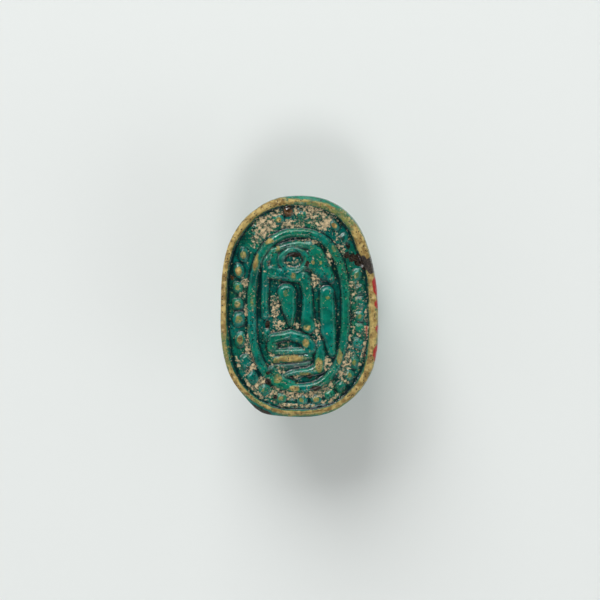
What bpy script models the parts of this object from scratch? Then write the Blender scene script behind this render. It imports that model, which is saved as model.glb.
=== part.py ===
"""Scarab amulet of glazed stone, lying on its back with the carved base up.

It is carved from one piece: an oval base plate with sunk relief on its face, the beetle's
legs in a recessed band under the plate, and the domed back with its wing cases, collar and
head. A stringing hole is drilled through its whole length. Metres, +Z up, +Y towards the
beetle's head, the origin on the flat spot of the back that the amulet rests on.
"""

import math

import bmesh
import bpy
from mathutils import Matrix, Vector

MM = 0.001

# Overall sizes
LENGTH = 16.0 * MM
WIDTH = 11.4 * MM
HEIGHT = 7.0 * MM
OUTLINE_POWER = 2.45
EGG = 0.015
AROUND = 64

# Base plate
PLATE_THICKNESS = 1.7 * MM
EDGE_ROUNDING = 0.16 * MM
PLATE_UNDERCUT = 0.3 * MM
GIRTH_SHARE = 0.55
RIM_WIDTH = 0.42 * MM
FIELD_DEPTH = 0.46 * MM
FIELD_WALL = 0.14 * MM
CORNER_SWELL = 0.2 * MM
CORNER_ANGLE = math.radians(246)
CORNER_SPREAD = math.radians(9)

# Chip in the rim, placed by its share of the way round, as every share from +X towards +Y
CHIP_SHARE = 0.084
CHIP_INSET = 0.55 * MM
CHIP_SIZE = (1.0 * MM, 0.62 * MM, 0.3 * MM)

# Border beads, in runs given by the first and last share of the way round, and a count
BEAD_LINE_INSET = 1.28 * MM
BEAD_RADIUS = 0.44 * MM
BEAD_HEIGHT = 0.34 * MM
BEAD_SIDES = 10
BEAD_RUNS = (
    (0.396, 0.527, 5),
    (0.566, 0.755, 6),
    (0.786, 0.896, 5),
    (0.930, 1.070, 5),
    (0.146, 0.177, 2),
    (0.246, 0.291, 2),
)

# Oval ring round the device
RING_HALF_WIDTH = 3.43 * MM
RING_HALF_LENGTH = 5.6 * MM
RING_OFFSET = -0.28 * MM
RING_FOOT = 0.66 * MM
RING_TOP = 0.34 * MM
RING_HEIGHT = 0.4 * MM

# The device. A place in it is a share of the ring's half width and half length, and a
# radius a share of its half width. A stroke is a raised band through places with radii.
DEVICE_HEIGHT = 0.38 * MM
DEVICE_SLOPE = 0.12 * MM
UPRIGHT_SHARE = 0.3
CAP_STEPS = 4
DISC_SIDES = 16
STROKES = {
    "hood": (
        (-0.71, -0.12, 0.09),
        (-0.71, 0.58, 0.09),
        (-0.62, 0.75, 0.09),
        (-0.38, 0.84, 0.08),
        (0.02, 0.885, 0.08),
        (0.30, 0.85, 0.10),
        (0.45, 0.74, 0.15),
        (0.55, 0.60, 0.14),
        (0.67, 0.44, 0.06),
    ),
    "breast": ((-0.60, 0.50, 0.15), (-0.20, 0.46, 0.15), (0.20, 0.44, 0.16)),
    "left_lobe": ((-0.27, 0.25, 0.185), (-0.21, 0.04, 0.15), (-0.15, -0.19, 0.07)),
    "right_lobe": ((0.18, 0.36, 0.10), (0.20, 0.10, 0.11), (0.19, -0.20, 0.15)),
    "blade": ((0.61, 0.23, 0.165), (0.64, -0.14, 0.16), (0.69, -0.56, 0.11)),
    "stand_arch": ((-0.58, -0.40, 0.11), (-0.27, -0.325, 0.09), (0.07, -0.37, 0.12)),
    "stand_foot": ((-0.56, -0.53, 0.09), (-0.08, -0.54, 0.09), (0.22, -0.50, 0.10)),
    "stand_bar": ((-0.52, -0.68, 0.055), (-0.10, -0.66, 0.06), (0.26, -0.62, 0.07)),
    "side_bow": ((0.32, -0.37, 0.09), (0.44, -0.55, 0.10), (0.36, -0.71, 0.09), (0.00, -0.755, 0.06)),
    "low_stub": ((-0.50, -0.80, 0.07), (-0.28, -0.88, 0.07)),
}
DISC_PLACE = (-0.11, 0.65)
DISC_RADII = (0.35, 0.29)
HOLLOWS = {
    "disc_hollow": (DISC_PLACE, (0.25, 0.19)),
    "stand_hollow": ((-0.22, -0.44), (0.21, 0.09)),
}

# Beetle: the recessed leg band, then the dome with its flat spot
LEG_BAND_HEIGHT = 1.35 * MM
LEG_BAND_INSET = 0.95 * MM
BAND_FRONT_INSET = 1.7 * MM
BACK_INSET = 0.5 * MM
BACK_FRONT_INSET = 2.7 * MM
BACK_EDGE = 0.3 * MM
BACK_FULLNESS = 0.86
BACK_STEPS = 9
FLAT_HALF_WIDTH = 1.45 * MM
FLAT_HALF_LENGTH = 1.95 * MM

# Legs: start and end turn in degrees, and the share of the band's height at each
LEG_RADIUS = 0.52 * MM
LEG_BURY = 0.75 * MM
LEG_BULGE = 0.3
LEG_TAPER = 0.2
LEG_SIDES = 8
LEG_STEPS = 7
LEGS = {
    "front": (20, 68, 0.68, 0.30),
    "middle": (14, -26, 0.72, 0.28),
    "hind": (-20, -70, 0.74, 0.34),
}

# Lines carved in the back
GROOVE_RADIUS = 0.2 * MM
GROOVE_SINK = 0.06 * MM
GROOVE_SIDES = 6
GROOVE_REACH = 0.96
COLLAR_LENGTH = 3.7 * MM
COLLAR_BOW = 0.9 * MM
NOTCH_PLACE = 0.74
NOTCH_SIZE = (0.42 * MM, 0.6 * MM, 0.3 * MM)

# Head: the skull with an eye at each side, and the toothed shield in front of it. Its
# places and spreads are shares of the head's half width, length and depth.
HEAD_HALF_WIDTH = 2.3 * MM
HEAD_TIP_INSET = 0.4 * MM
HEAD_DEPTH = 3.0 * MM
HEAD_OVERLAP = 2.6 * MM
SKULL_PLACE = 0.4
SKULL_SPREAD = 0.42
EYE_PLACE = (0.8, 0.56, 0.62)
EYE_RADIUS = 0.55 * MM
EYE_STRETCH = 1.3
SHIELD_SPREAD = (0.74, 0.4)
SHIELD_DEPTH = 2.1 * MM
SHIELD_SLOPE = 0.5 * MM
SHIELD_NOTCH = 0.1
SHIELD_TEETH = 7
SHIELD_POINTS = 28

# Stringing hole, and the wall of stone between it and the plate
HOLE_RADIUS = 0.8 * MM
HOLE_WALL = 0.35 * MM
HOLE_SIDES = 20

# How far a raised form reaches into what carries it
EMBED = 0.25 * MM

PLATE_LOW = HEIGHT - PLATE_THICKNESS
FIELD_FLOOR = HEIGHT - FIELD_DEPTH
BACK_EDGE_Z = PLATE_LOW - LEG_BAND_HEIGHT - BACK_EDGE
BACK_HALF_WIDTH = WIDTH / 2 - BACK_INSET
BACK_HALF_LENGTH = LENGTH / 2 - (BACK_INSET + BACK_FRONT_INSET) / 2
BACK_MIDDLE = (BACK_INSET - BACK_FRONT_INSET) / 2
BACK_FRONT = LENGTH / 2 - BACK_FRONT_INSET
COLLAR_LINE = BACK_FRONT - COLLAR_LENGTH


def clear_scene():
    for thing in list(bpy.data.objects):
        bpy.data.objects.remove(thing)


def power_of(value, exponent):
    return math.copysign(abs(value) ** exponent, value)


def oval(half_width, half_length, turn, power=OUTLINE_POWER):
    """The point of a squarish oval at this turn, counted from +X towards +Y."""
    return (
        half_width * power_of(math.cos(turn), 2 / power),
        half_length * power_of(math.sin(turn), 2 / power),
    )


def turns(count=AROUND):
    return [2 * math.pi * k / count for k in range(count)]


def loop_of(half_width, half_length, z, middle_y=0.0, swell=0.0, egg=0.0):
    """A level oval loop. The swell is the bulge at the plate's lower left corner, and the
    egg the share by which the loop is broader at its tail and narrower at its head."""
    points = []
    for turn in turns():
        x, y = oval(half_width, half_length, turn)
        away = math.atan2(math.sin(turn - CORNER_ANGLE), math.cos(turn - CORNER_ANGLE))
        grown = 1 + swell / half_length * math.exp(-((away / CORNER_SPREAD) ** 2))
        x *= 1 - egg * y / half_length
        points.append(Vector((x * grown, middle_y + y * grown, z)))
    return points


def point_along(inset, share, count=720):
    """The point at this share of the way round the plate's outline, moved in by the inset."""
    line = [Vector(oval(WIDTH / 2 - inset, LENGTH / 2 - inset, turn)) for turn in turns(count)]
    line.append(line[0])
    steps = [(b - a).length for a, b in zip(line, line[1:])]
    left = (share % 1.0) * sum(steps)
    for k, step in enumerate(steps):
        if left <= step:
            return line[k].lerp(line[k + 1], left / step)
        left -= step
    return line[-1]


def object_from(name, bm):
    mesh = bpy.data.meshes.new(name)
    bm.to_mesh(mesh)
    bm.free()
    thing = bpy.data.objects.new(name, mesh)
    bpy.context.scene.collection.objects.link(thing)
    return thing


def loft(name, loops, round_again=False):
    """A closed solid through loops of equally many points. Round again makes it a ring."""
    bm = bmesh.new()
    rows = [[bm.verts.new(point) for point in loop] for loop in loops]
    pairs = list(zip(rows, rows[1:]))
    if round_again:
        pairs.append((rows[-1], rows[0]))
    else:
        bm.faces.new(rows[0][::-1])
        bm.faces.new(rows[-1])
    for low, high in pairs:
        for k in range(len(low)):
            after = (k + 1) % len(low)
            bm.faces.new((low[k], low[after], high[after], high[k]))
    bmesh.ops.recalc_face_normals(bm, faces=bm.faces)
    return object_from(name, bm)


def blob(name, centre, radii, rings=10, sides=16, upper=None):
    """An egg with these half sizes. Its upper half may be flatter than the lower one."""
    bm = bmesh.new()
    bmesh.ops.create_uvsphere(bm, u_segments=sides, v_segments=rings, radius=1.0)
    if upper is not None:
        for vert in bm.verts:
            if vert.co.z > 0:
                vert.co.z *= upper / radii[2]
    place = Matrix.Translation(centre) @ Matrix.Diagonal((*radii, 1))
    bmesh.ops.transform(bm, matrix=place, verts=bm.verts)
    return object_from(name, bm)


def tube(name, points, radii, sides):
    """A closed tube through the points, with a radius for each."""
    loops = []
    for k, point in enumerate(points):
        before = points[max(k - 1, 0)]
        after = points[min(k + 1, len(points) - 1)]
        along = (after - before).normalized()
        across = along.cross(Vector((0, 0, 1))).normalized()
        up = across.cross(along)
        circle = [radii[k] * (math.cos(turn) * across + math.sin(turn) * up) for turn in turns(sides)]
        loops.append([point + offset for offset in circle])
    return loft(name, loops)


def base_plate():
    """The oval plate, with its rounded edge, flat rim and sunk field."""
    girth = PLATE_LOW + GIRTH_SHARE * PLATE_THICKNESS
    below_girth = (PLATE_LOW + girth) / 2

    def ring_at(inset, z, swell=0.0):
        return loop_of(WIDTH / 2 - inset, LENGTH / 2 - inset, z, swell=swell, egg=EGG)

    rim_inner = EDGE_ROUNDING + RIM_WIDTH
    return loft(
        "scarab",
        [
            ring_at(PLATE_UNDERCUT, PLATE_LOW, CORNER_SWELL / 2),
            ring_at(PLATE_UNDERCUT / 4, below_girth, CORNER_SWELL),
            ring_at(0.0, girth, CORNER_SWELL),
            ring_at(EDGE_ROUNDING / 3, HEIGHT - EDGE_ROUNDING, CORNER_SWELL / 2),
            ring_at(EDGE_ROUNDING, HEIGHT),
            ring_at(rim_inner, HEIGHT),
            ring_at(rim_inner + FIELD_WALL, FIELD_FLOOR),
        ],
    )


def bead(name, place):
    """A low round knob whose foot is sunk in the field."""
    profile = (
        (1.1, -EMBED),
        (1.0, UPRIGHT_SHARE * BEAD_HEIGHT),
        (0.74, 0.8 * BEAD_HEIGHT),
        (0.38, BEAD_HEIGHT),
    )
    loops = []
    for share, level in profile:
        radius = share * BEAD_RADIUS
        circle = [(math.cos(turn), math.sin(turn)) for turn in turns(BEAD_SIDES)]
        loops.append(
            [Vector((place.x + radius * c, place.y + radius * s, FIELD_FLOOR + level)) for c, s in circle]
        )
    return loft(name, loops)


def beads():
    made = []
    for first, last, count in BEAD_RUNS:
        for k in range(count):
            share = first + (last - first) * k / (count - 1)
            place = point_along(BEAD_LINE_INSET, share)
            made.append(bead(f"bead_{len(made) + 1}", place))
    return made


def ring():
    """The raised oval line round the device."""
    profile = (
        (-RING_FOOT / 2, -EMBED),
        (-RING_FOOT / 2, 0.0),
        (-RING_TOP / 2, RING_HEIGHT),
        (RING_TOP / 2, RING_HEIGHT),
        (RING_FOOT / 2, 0.0),
        (RING_FOOT / 2, -EMBED),
    )
    loops = [
        loop_of(RING_HALF_WIDTH + out, RING_HALF_LENGTH + out, FIELD_FLOOR + level, RING_OFFSET)
        for out, level in profile
    ]
    return loft("ring", loops, round_again=True)


def in_ring(across, along):
    """A place in the ring, from shares of its half width and half length."""
    return Vector((across * RING_HALF_WIDTH, RING_OFFSET + along * RING_HALF_LENGTH))


def band_outline(places, radii):
    """The outline of a band with round ends, through the places, anticlockwise."""
    headings = []
    for k in range(len(places)):
        before = places[max(k - 1, 0)]
        after = places[min(k + 1, len(places) - 1)]
        headings.append(math.atan2((after - before).y, (after - before).x))

    def beside(k, turn):
        heading = headings[k] + turn
        return places[k] + radii[k] * Vector((math.cos(heading), math.sin(heading)))

    quarter = math.pi / 2
    last = len(places) - 1
    points = [beside(k, -quarter) for k in range(last)]
    points += [beside(last, -quarter + math.pi * n / CAP_STEPS) for n in range(CAP_STEPS + 1)]
    points += [beside(k, quarter) for k in range(last - 1, 0, -1)]
    points += [beside(0, quarter + math.pi * n / CAP_STEPS) for n in range(CAP_STEPS)]
    return points


def stroke(name, knots):
    """A raised band with sloping sides, whose foot is sunk in the field."""
    places = [in_ring(across, along) for across, along, _ in knots]
    radii = [radius * RING_HALF_WIDTH for _, _, radius in knots]
    slope = min(DEVICE_SLOPE, 0.6 * min(radii))
    foot = band_outline(places, radii)
    top = band_outline(places, [radius - slope for radius in radii])
    return loft(
        name,
        [
            [Vector((*point, FIELD_FLOOR - EMBED)) for point in foot],
            [Vector((*point, FIELD_FLOOR + UPRIGHT_SHARE * DEVICE_HEIGHT)) for point in foot],
            [Vector((*point, FIELD_FLOOR + DEVICE_HEIGHT)) for point in top],
        ],
    )


def disc():
    """The raised oval that the upper hollow is sunk in."""
    middle = in_ring(*DISC_PLACE)
    half = [share * RING_HALF_WIDTH for share in DISC_RADII]

    def outline(shrink, level):
        circle = [(math.cos(turn), math.sin(turn)) for turn in turns(DISC_SIDES)]
        return [
            Vector(
                (
                    middle.x + (half[0] - shrink) * c,
                    middle.y + (half[1] - shrink) * s,
                    FIELD_FLOOR + level,
                )
            )
            for c, s in circle
        ]

    return loft(
        "disc",
        [
            outline(0.0, -EMBED),
            outline(0.0, UPRIGHT_SHARE * DEVICE_HEIGHT),
            outline(DEVICE_SLOPE, DEVICE_HEIGHT),
        ],
    )


def device():
    """The worn emblem: a hood over a hollowed disc, lobes below it, a blade and low bands."""
    return [disc(), *(stroke(name, knots) for name, knots in STROKES.items())]


def hollow(name, place, radii):
    """A cutter for a dished hollow in the device, nearly as deep as the field."""
    middle = in_ring(*place)
    above = 0.15 * DEVICE_HEIGHT
    return blob(
        name,
        (middle.x, middle.y, FIELD_FLOOR + DEVICE_HEIGHT + above),
        (radii[0] * RING_HALF_WIDTH, radii[1] * RING_HALF_WIDTH, DEVICE_HEIGHT + above),
        rings=6,
        sides=12,
    )


def chip():
    place = point_along(CHIP_INSET, CHIP_SHARE)
    return blob("rim_chip", (place.x, place.y, HEIGHT), CHIP_SIZE, rings=8, sides=12)


def back():
    """The leg band that stands in the plate, and the dome of the wing cases and collar."""
    loops = []
    for step in range(BACK_STEPS + 1):
        lean = math.pi / 2 * step / BACK_STEPS
        share = math.sin(lean) ** BACK_FULLNESS
        loops.append(dome_loop(share))
    loops.append(loop_of(BACK_HALF_WIDTH, BACK_HALF_LENGTH, BACK_EDGE_Z + 0.5 * BACK_EDGE, BACK_MIDDLE))
    band_middle = (LEG_BAND_INSET - BAND_FRONT_INSET) / 2
    band_half = (WIDTH / 2 - LEG_BAND_INSET, LENGTH / 2 - (LEG_BAND_INSET + BAND_FRONT_INSET) / 2)
    for z in (BACK_EDGE_Z + BACK_EDGE, PLATE_LOW + EMBED):
        loops.append(loop_of(*band_half, z, band_middle))
    return loft("back", loops)


def dome_sizes(share):
    """Half width, half length and middle of the dome's loop at this share of its spread."""
    return (
        FLAT_HALF_WIDTH + share * (BACK_HALF_WIDTH - FLAT_HALF_WIDTH),
        FLAT_HALF_LENGTH + share * (BACK_HALF_LENGTH - FLAT_HALF_LENGTH),
        share * BACK_MIDDLE,
    )


def dome_z(share):
    """The dome's level at this share: zero on the flat spot, and its edge at one."""
    lean = math.asin(min(share, 1.0) ** (1 / BACK_FULLNESS))
    return BACK_EDGE_Z * (1 - math.cos(lean))


def dome_loop(share):
    half_width, half_length, middle = dome_sizes(share)
    return loop_of(half_width, half_length, dome_z(share), middle)


def dome_height(x, y):
    """The level of the dome over this place, found by halving the share."""
    low, high = 0.0, 1.0
    for _ in range(30):
        share = (low + high) / 2
        half_width, half_length, middle = dome_sizes(share)
        gauge = abs(x / half_width) ** OUTLINE_POWER + abs((y - middle) / half_length) ** OUTLINE_POWER
        if gauge > 1:
            low = share
        else:
            high = share
    return dome_z(high)


def leg(name, side, start, end, high, low):
    """One folded leg in the band under the plate. Both its ends run into the band."""
    points, radii = [], []
    for k in range(LEG_STEPS + 1):
        share = k / LEG_STEPS
        turn = math.radians(start + share * (end - start))
        inset = LEG_BAND_INSET + LEG_BURY * (2 * share - 1) ** 4
        x, y = oval(WIDTH / 2 - inset, LENGTH / 2 - inset, turn)
        level = high + (low - high) * share
        points.append(Vector((side * x, y, PLATE_LOW - level * LEG_BAND_HEIGHT)))
        fullness = 1 - LEG_BULGE * (1 - math.sin(math.pi * share))
        radii.append(LEG_RADIUS * fullness * (1 - LEG_TAPER * share))
    return tube(name, points, radii, LEG_SIDES)


def legs():
    made = []
    for side, label in ((-1, "left"), (1, "right")):
        for name, way in LEGS.items():
            made.append(leg(f"{label}_{name}_leg", side, *way))
    return made


def head():
    """The skull and eyes in front of the collar, and the toothed shield before them."""
    seat = PLATE_LOW + EMBED
    neck = BACK_FRONT - HEAD_OVERLAP
    tip = LENGTH / 2 - HEAD_TIP_INSET
    reach = tip - neck
    skull = blob(
        "skull",
        (0, neck + SKULL_PLACE * reach, seat),
        (HEAD_HALF_WIDTH, SKULL_SPREAD * reach, HEAD_DEPTH + EMBED),
        upper=EMBED / 2,
    )
    across, along, deep = EYE_PLACE
    eyes = [
        blob(
            f"eye_{side}",
            (side * across * HEAD_HALF_WIDTH, neck + along * reach, PLATE_LOW - deep * HEAD_DEPTH),
            (EYE_RADIUS, EYE_STRETCH * EYE_RADIUS, EYE_RADIUS),
            rings=6,
            sides=8,
        )
        for side in (-1, 1)
    ]
    half = (SHIELD_SPREAD[0] * HEAD_HALF_WIDTH, SHIELD_SPREAD[1] * reach)
    middle_y = tip - half[1]

    def outline(shrink, z):
        points = []
        for turn in turns(SHIELD_POINTS):
            front = max(math.sin(turn), 0.0)
            between = (1 - math.cos(SHIELD_TEETH * (turn - math.pi / 2))) / 2
            tooth = 1 - SHIELD_NOTCH * front * between
            points.append(
                Vector(
                    (
                        (half[0] - shrink) * tooth * math.cos(turn),
                        middle_y + (half[1] - shrink) * tooth * math.sin(turn),
                        z,
                    )
                )
            )
        return points

    shield = loft(
        "shield",
        [
            outline(SHIELD_SLOPE, PLATE_LOW - SHIELD_DEPTH),
            outline(SHIELD_SLOPE / 4, PLATE_LOW - 0.75 * SHIELD_DEPTH),
            outline(0.0, seat),
        ],
    )
    return [skull, *eyes, shield]


def hole():
    """The drill's path from end to end, under the plate and clear of it."""
    z = PLATE_LOW - HOLE_WALL - HOLE_RADIUS
    bm = bmesh.new()
    bmesh.ops.create_cone(
        bm,
        cap_ends=True,
        segments=HOLE_SIDES,
        radius1=HOLE_RADIUS,
        radius2=HOLE_RADIUS,
        depth=1.2 * LENGTH,
        matrix=Matrix.Translation((0, 0, z)) @ Matrix.Rotation(math.pi / 2, 4, "X"),
    )
    return object_from("stringing_hole", bm)


def collar_y(x):
    """Where the line behind the collar runs at this x. It bows back in the middle."""
    return COLLAR_LINE + COLLAR_BOW * (x / BACK_HALF_WIDTH) ** 2


def groove(name, places):
    """A cutter along a line of places on the back."""
    points = [Vector((x, y, dome_height(x, y) - GROOVE_SINK)) for x, y in places]
    return tube(name, points, [GROOVE_RADIUS] * len(points), GROOVE_SIDES)


def grooves():
    """The line behind the collar, the seam of the wing cases, and a notch at each shoulder."""
    reach = GROOVE_REACH * BACK_HALF_WIDTH
    across = [reach * (k / 8 - 1) for k in range(17)]
    tail = BACK_MIDDLE - GROOVE_REACH * BACK_HALF_LENGTH
    seam = [(0.0, COLLAR_LINE + (tail - COLLAR_LINE) * k / 12) for k in range(13)]
    notches = []
    for side in (-1, 1):
        x = side * NOTCH_PLACE * BACK_HALF_WIDTH
        y = collar_y(x) - NOTCH_SIZE[1]
        notches.append(
            blob(f"shoulder_notch_{side}", (x, y, dome_height(x, y)), NOTCH_SIZE, rings=6, sides=8)
        )
    return [groove("collar_line", [(x, collar_y(x)) for x in across]), groove("wing_seam", seam), *notches]


def gather(name, things):
    """Puts helpers in a collection of their own, hidden from the render."""
    group = bpy.data.collections.new(name)
    bpy.context.scene.collection.children.link(group)
    for thing in things:
        bpy.context.scene.collection.objects.unlink(thing)
        group.objects.link(thing)
        thing.hide_render = True
        thing.display_type = "WIRE"
    return group


def combine(thing, name, operation, group):
    modifier = thing.modifiers.new(name, "BOOLEAN")
    modifier.operation = operation
    modifier.operand_type = "COLLECTION"
    modifier.collection = group
    modifier.solver = "EXACT"


def glazed_stone():
    material = bpy.data.materials.new("glazed_steatite")
    material.use_nodes = True
    shader = material.node_tree.nodes["Principled BSDF"]
    shader.inputs["Base Color"].default_value = (0.02, 0.24, 0.22, 1)
    shader.inputs["Roughness"].default_value = 0.3
    shader.inputs["Metallic"].default_value = 0.0
    return material


def scarab():
    body = base_plate()
    raised = [back(), *legs(), *head(), *beads(), ring(), *device()]
    cuts = [*(hollow(name, *size) for name, size in HOLLOWS.items()), chip(), hole(), *grooves()]
    combine(body, "join", "UNION", gather("raised", raised))
    combine(body, "carve", "DIFFERENCE", gather("cuts", cuts))
    body.data.materials.append(glazed_stone())
    body.data.shade_smooth()
    body.data.set_sharp_from_angle(angle=math.radians(35))
    return body


clear_scene()
scarab()
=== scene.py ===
# %% [markdown]
# # A glazed scarab, lying on its back
# This is a beetle amulet the length of a finger nail, carved from one piece of soft stone,
# dipped in a blue-green glaze and worn for a lifetime. It lies with its carved base up.
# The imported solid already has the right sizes, so the scene takes that solid, gives it a
# mesh fine enough for the carving, and then spends its effort on relief, wear and colour.

# %% Load the frame
import math

import bmesh
import bpy
import numpy as np
from mathutils import Matrix, Vector


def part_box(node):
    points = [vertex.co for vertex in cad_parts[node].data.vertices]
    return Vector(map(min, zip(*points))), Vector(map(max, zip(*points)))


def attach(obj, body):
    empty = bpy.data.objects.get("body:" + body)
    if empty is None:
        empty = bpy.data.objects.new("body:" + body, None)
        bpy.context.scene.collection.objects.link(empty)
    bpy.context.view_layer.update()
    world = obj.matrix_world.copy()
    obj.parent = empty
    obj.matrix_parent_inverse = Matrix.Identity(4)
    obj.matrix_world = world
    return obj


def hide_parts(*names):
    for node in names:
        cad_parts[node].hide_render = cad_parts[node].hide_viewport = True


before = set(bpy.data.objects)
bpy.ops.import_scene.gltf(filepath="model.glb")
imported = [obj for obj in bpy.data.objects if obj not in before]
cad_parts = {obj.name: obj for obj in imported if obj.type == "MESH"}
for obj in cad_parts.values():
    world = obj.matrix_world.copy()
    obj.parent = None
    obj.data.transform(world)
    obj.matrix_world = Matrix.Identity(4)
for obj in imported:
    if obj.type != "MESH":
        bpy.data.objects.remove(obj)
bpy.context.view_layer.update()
low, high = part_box("scarab")
MM = 0.001
WIDTH, LENGTH, HEIGHT = (side / MM for side in high - low)
print(f"the solid is {WIDTH:.2f} by {LENGTH:.2f} by {HEIGHT:.2f} mm")

# %% [markdown]
# ## Ovals and the distance to them
# The plate's outline, the ring and the line of beads are all one shape: an oval with
# slightly square shoulders. A superellipse gives it with one number, its power. Carving a
# ridge needs the distance to such a line, in millimetres, and dividing the oval's gauge by
# its slope is close enough for that without any search.

# %% Distance to a squarish oval
OUTLINE_POWER = 2.45
EGG = 0.015


def gauge(x, y, half_width, half_length, power):
    return (np.abs(x / half_width) ** power + np.abs(y / half_length) ** power) ** (1 / power)


def oval_distance(x, y, half_width, half_length, power=OUTLINE_POWER):
    """Distance to the oval in millimetres, negative inside."""
    step = 0.001
    here = gauge(x, y, half_width, half_length, power)
    slope_x = gauge(x + step, y, half_width, half_length, power) - here
    slope_y = gauge(x, y + step, half_width, half_length, power) - here
    return (here - 1) * step / np.maximum(np.hypot(slope_x, slope_y), step / 50)


def plate_inset(x, y):
    """How far inside the plate's outline a place is. The plate is a little broader at its tail."""
    return -oval_distance(x / (1 - EGG * y / (LENGTH / 2)), y, WIDTH / 2, LENGTH / 2)


print("inset at the middle", round(float(plate_inset(0.01, 0.01)), 2), "mm")

# %% [markdown]
# ## Noise that never changes
# Every worn edge and lump below comes from one small value-noise function. It hashes the
# corners of a lattice, so the same place always gets the same number, and the scene looks
# the same on every run without a stored seed.


# %% Value noise
def lumps(points, size, seed):
    """Smooth noise from -1 to 1 at these points, with lumps of this size."""
    cell = points / size + seed * 17.31
    corner = np.floor(cell).astype(np.int64)
    part = cell - corner
    part = part * part * (3 - 2 * part)
    total = np.zeros(len(points))
    for k in range(8):
        step = np.array([k & 1, k >> 1 & 1, k >> 2 & 1])
        key = (corner + step) @ np.array([73856093, 19349663, 83492791]) + seed * 2654435
        key = (key ^ (key >> 13)) * 1274126177
        value = ((key ^ (key >> 16)) & 0xFFFF) / 0x8000 - 1
        total += value * np.prod(np.where(step, part, 1 - part), axis=1)
    return total


def ripples(points, size, seed, octaves=3):
    """Lumps with smaller lumps on them."""
    sizes = [size / 2**k for k in range(octaves)]
    layers = [lumps(points, s, seed + k) / 2**k for k, s in enumerate(sizes)]
    return sum(layers) / (2 - 2 ** (1 - octaves))


def smooth_step(low_edge, high_edge, value):
    share = np.clip((value - low_edge) / (high_edge - low_edge), 0, 1)
    return share * share * (3 - 2 * share)


probe = lumps(np.linspace(0, 9, 3000).reshape(-1, 3), 0.7, 1)
print("noise runs from", round(probe.min(), 2), "to", round(probe.max(), 2))

# %% [markdown]
# ## The blank
# A mason starts from a blank with a flat base and cuts the picture into it. The scene does
# the same: it cuts the solid's face off below the carving and builds the plate up again to
# a flat top with a softly rounded edge. A voxel remesh then lays an even net over it. The
# carved base needs that net fine and the back doesn't, so a Decimate modifier, held off the
# plate by a vertex group, takes up the points that the back has too many of.

# %% Cut the face off and rebuild it flat
FIELD_DEPTH = 0.46
RIM_CREST = 0.33
CUT_LEVEL = HEIGHT - 0.62
EDGE_PROFILE = ((0.0, -0.36), (0.03, -0.2), (0.09, -0.09), (0.18, -0.03), (RIM_CREST, 0.0))

blank = bmesh.new()
blank.from_mesh(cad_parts["scarab"].data)
bmesh.ops.scale(blank, vec=(1 / MM,) * 3, verts=blank.verts)
bmesh.ops.remove_doubles(blank, verts=blank.verts, dist=0.0005)
cut = bmesh.ops.bisect_plane(
    blank,
    geom=[*blank.verts, *blank.edges, *blank.faces],
    plane_co=(0, 0, CUT_LEVEL),
    plane_no=(0, 0, 1),
    clear_outer=True,
)
rim_edges = [part for part in cut["geom_cut"] if isinstance(part, bmesh.types.BMEdge)]
lid = bmesh.ops.edgeloop_fill(blank, edges=rim_edges)["faces"][0]
row = list(lid.verts)
bmesh.ops.delete(blank, geom=[lid], context="FACES_ONLY")
for inset, level in EDGE_PROFILE:
    above = []
    for corner in row:
        place = corner.co.xy * (1 - inset / corner.co.xy.length)
        above.append(blank.verts.new(Vector((*place, HEIGHT + level))))
    for k in range(len(row)):
        after = (k + 1) % len(row)
        blank.faces.new((row[k], row[after], above[after], above[k]))
    row = above
blank.faces.new(row)
bmesh.ops.recalc_face_normals(blank, faces=blank.faces)
open_edges = sum(not edge.is_manifold for edge in blank.edges)
print("the blank has", len(blank.faces), "faces and", open_edges, "open edges")

# %% Lay the net
VOXEL = 0.062
FINE_ABOVE = 6.2
KEPT_SHARE = 0.48


def mesh_points(mesh):
    points = np.empty(len(mesh.vertices) * 3)
    mesh.vertices.foreach_get("co", points)
    return points.reshape(-1, 3)


def with_modifiers(thing):
    """The mesh of an object after its modifiers; the object is removed."""
    result = bpy.data.meshes.new_from_object(thing.evaluated_get(bpy.context.evaluated_depsgraph_get()))
    bpy.data.objects.remove(thing)
    return result


def loose_object(name, mesh):
    thing = bpy.data.objects.new(name, mesh)
    bpy.context.scene.collection.objects.link(thing)
    return thing


blank_mesh = bpy.data.meshes.new("blank")
blank.to_mesh(blank_mesh)
blank.free()
rough = loose_object("rough", blank_mesh)
remesh = rough.modifiers.new("net", "REMESH")
remesh.mode = "VOXEL"
remesh.voxel_size = VOXEL
net = with_modifiers(rough)

rough = loose_object("rough", net)
below = [int(k) for k in np.flatnonzero(mesh_points(net)[:, 2] < FINE_ABOVE)]
rough.vertex_groups.new(name="below").add(below, 1.0, "REPLACE")
thin = rough.modifiers.new("thin", "DECIMATE")
thin.ratio = KEPT_SHARE
thin.vertex_group = "below"
net = with_modifiers(rough)
points = mesh_points(net)
triangles = sum(len(face.vertices) - 2 for face in net.polygons)
print("the net has", len(points), "points and", triangles, "triangles")

# %% [markdown]
# ## Softening the facets
# The solid is made of flat facets, and worn stone has none. Moving each point part of the
# way to the middle of its neighbours, many times over, blurs the facets away. The flat top
# is left alone, because its relief comes from a formula.

# %% Smooth everything below the rim
ends = np.empty(len(net.edges) * 2, np.int32)
net.edges.foreach_get("vertices", ends)
ends = ends.reshape(-1, 2)
neighbours = np.bincount(ends.ravel(), minlength=len(points)).astype(float)


def neighbour_mean(values):
    total = np.bincount(ends[:, 0], values[ends[:, 1]], len(values))
    total += np.bincount(ends[:, 1], values[ends[:, 0]], len(values))
    return total / neighbours


def smoothed(values, rounds, amount):
    """Values moved part of the way to their neighbours' mean, this many times."""
    for _ in range(rounds):
        values = values + amount * (neighbour_mean(values) - values)
    return values


TOP_SLACK = 0.02
UNDER_LEVEL = FINE_ABOVE - 0.9
ALL_ROUNDS, UNDER_ROUNDS = 8, 14

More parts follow.
